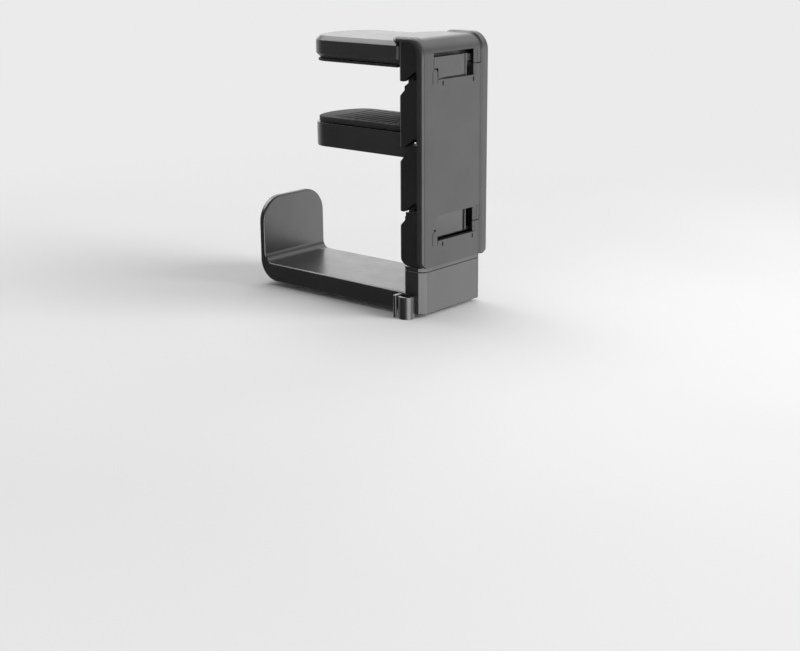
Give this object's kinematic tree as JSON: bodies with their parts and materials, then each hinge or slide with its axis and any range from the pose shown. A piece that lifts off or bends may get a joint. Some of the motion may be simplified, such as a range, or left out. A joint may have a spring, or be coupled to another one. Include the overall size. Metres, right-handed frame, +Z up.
{
  "type": "headphone hook",
  "caption": "Clamp-on headphone hook for a desk edge, with a sprung lower jaw, a turning arm ending in an upright paddle, and a side clip for the cable.",
  "frame": {"origin": "middle of the width, on the plane of the desk's edge, at the height of the desk's top surface", "axes": "+X to the right along the desk edge, +Y in over the desk, +Z up"},
  "size_m": [0.0495, 0.1034, 0.1217],
  "materials": {
    "cover_plastic": "satin black moulded plastic with a fine grain",
    "frame_plastic": "matt black moulded plastic",
    "hook_plastic": "satin black moulded plastic",
    "rubber": "matt black rubber",
    "steel": "zinc-plated steel",
    "nylon": "natural nylon"
  },
  "bodies": {
    "clamp_body": {"front_cover": "cover_plastic", "clamp_frame": "frame_plastic", "upper_jaw": "cover_plastic", "upper_jaw_pad": "rubber", "upper_jaw_screw_left": "steel", "upper_jaw_screw_right": "steel", "jaw_pin": "steel", "jaw_spring_left": "steel", "jaw_spring_right": "steel", "swivel_collar": "hook_plastic", "collar_screw_left": "steel", "collar_screw_right": "steel", "swivel_bolt": "steel", "friction_washer": "nylon", "wave_washer": "steel", "steel_washer": "steel", "swivel_nut": "steel"},
    "jaw_body": {"lower_jaw": "hook_plastic", "lower_jaw_pad": "rubber"},
    "hook_body": {"hook_arm": "hook_plastic", "arm_bottom_cover": "hook_plastic", "arm_cover_screw_1": "steel", "arm_cover_screw_2": "steel", "arm_cover_screw_3": "steel", "arm_cover_screw_4": "steel", "cable_clip": "hook_plastic"}
  },
  "joints": [
    {"name": "arm_swivel", "type": "hinge", "parent": "clamp_body", "child": "hook_body", "pos_m": [0, -0.00725, -0.0873], "axis": [0, 0, 1], "continuous": true},
    {"name": "lower_jaw_pivot", "type": "hinge", "parent": "clamp_body", "child": "jaw_body", "pos_m": [0, -0.0094, -0.0314], "axis": [1, 0, 0], "range_deg": [-20, 21], "stiffness_Nm_per_rad": 0.8, "springref_deg": 34.38, "deforming": ["jaw_spring_left", "jaw_spring_right"]}
  ]
}
